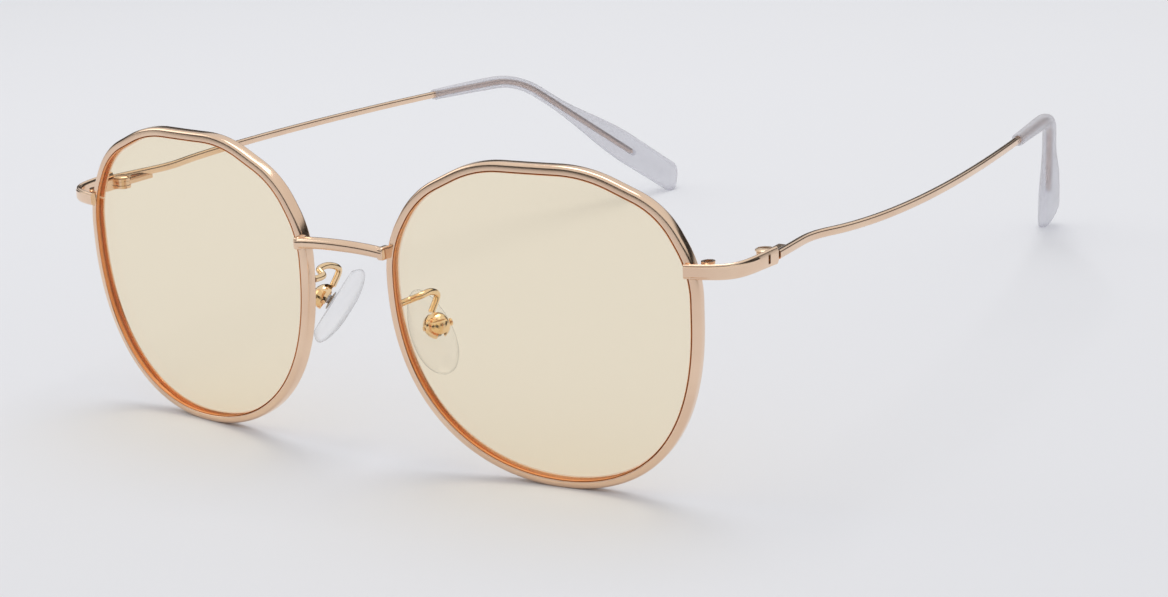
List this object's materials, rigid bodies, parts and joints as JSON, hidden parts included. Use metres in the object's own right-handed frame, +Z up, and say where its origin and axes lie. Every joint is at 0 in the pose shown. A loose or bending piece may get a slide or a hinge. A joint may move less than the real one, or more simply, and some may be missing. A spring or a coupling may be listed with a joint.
{
  "type": "eyeglasses",
  "caption": "Open metal-rim glasses with pale yellow lenses, round bridge bar, folding bowed temples in clear sleeves, and rocking nose pads.",
  "frame": {"origin": "middle of the floor rectangle under the open glasses, on the plane that both rim bottoms and both temple tips stand on", "axes": "+Z up, the lenses face -Y, the temples run towards +Y, and +X is the wearer's left"},
  "size_m": [0.1345, 0.1824, 0.0489],
  "materials": {
    "frame_metal": "polished rose gold plating over soft brushing",
    "fitting_metal": "polished pale gold plating",
    "screw_metal": "turned and gold plated",
    "lens_tint": "polished, clear pale yellow with a faint green coating sheen",
    "tip_sleeve": "frosted translucent grey",
    "pad_silicone": "soft clear silicone"
  },
  "bodies": {
    "front": {"rim_left": "frame_metal", "lens_left": "lens_tint", "rim_lock_upper_left": "frame_metal", "rim_lock_lower_left": "frame_metal", "rim_lock_screw_left": "screw_metal", "end_piece_left": "frame_metal", "hinge_front_leaf_left": "frame_metal", "hinge_screw_left": "screw_metal", "pad_arm_left": "fitting_metal", "pad_box_left": "fitting_metal", "pad_screw_left": "screw_metal", "rim_right": "frame_metal", "lens_right": "lens_tint", "rim_lock_upper_right": "frame_metal", "rim_lock_lower_right": "frame_metal", "rim_lock_screw_right": "screw_metal", "end_piece_right": "frame_metal", "hinge_front_leaf_right": "frame_metal", "hinge_screw_right": "screw_metal", "pad_arm_right": "fitting_metal", "pad_box_right": "fitting_metal", "pad_screw_right": "screw_metal", "bridge": "frame_metal"},
    "temple_left": {"hinge_temple_leaf_left": "frame_metal", "temple_wire_left": "frame_metal", "temple_tip_left": "tip_sleeve"},
    "pad_left": {"pad_insert_left": "fitting_metal", "nose_pad_left": "pad_silicone"},
    "temple_right": {"hinge_temple_leaf_right": "frame_metal", "temple_wire_right": "frame_metal", "temple_tip_right": "tip_sleeve"},
    "pad_right": {"pad_insert_right": "fitting_metal", "nose_pad_right": "pad_silicone"}
  },
  "joints": [
    {"name": "temple_left_fold", "type": "hinge", "parent": "front", "child": "temple_left", "pos_m": [0.06153, -0.07169, 0.03492], "axis": [0, 0, 1], "range_deg": [0, 90]},
    {"name": "temple_right_fold", "type": "hinge", "parent": "front", "child": "temple_right", "pos_m": [-0.06153, -0.07169, 0.03492], "axis": [0, 0, -1], "range_deg": [-1.4, 82.6]},
    {"name": "pad_left_rock", "type": "hinge", "parent": "front", "child": "pad_left", "pos_m": [0.0106, -0.0816, 0.0208], "axis": [-0.4715, -0.8792, -0.0688], "range_deg": [-10, 10]},
    {"name": "pad_right_rock", "type": "hinge", "parent": "front", "child": "pad_right", "pos_m": [-0.0106, -0.0816, 0.0228], "axis": [0.4715, -0.8792, -0.0688], "range_deg": [-10, 10]}
  ]
}
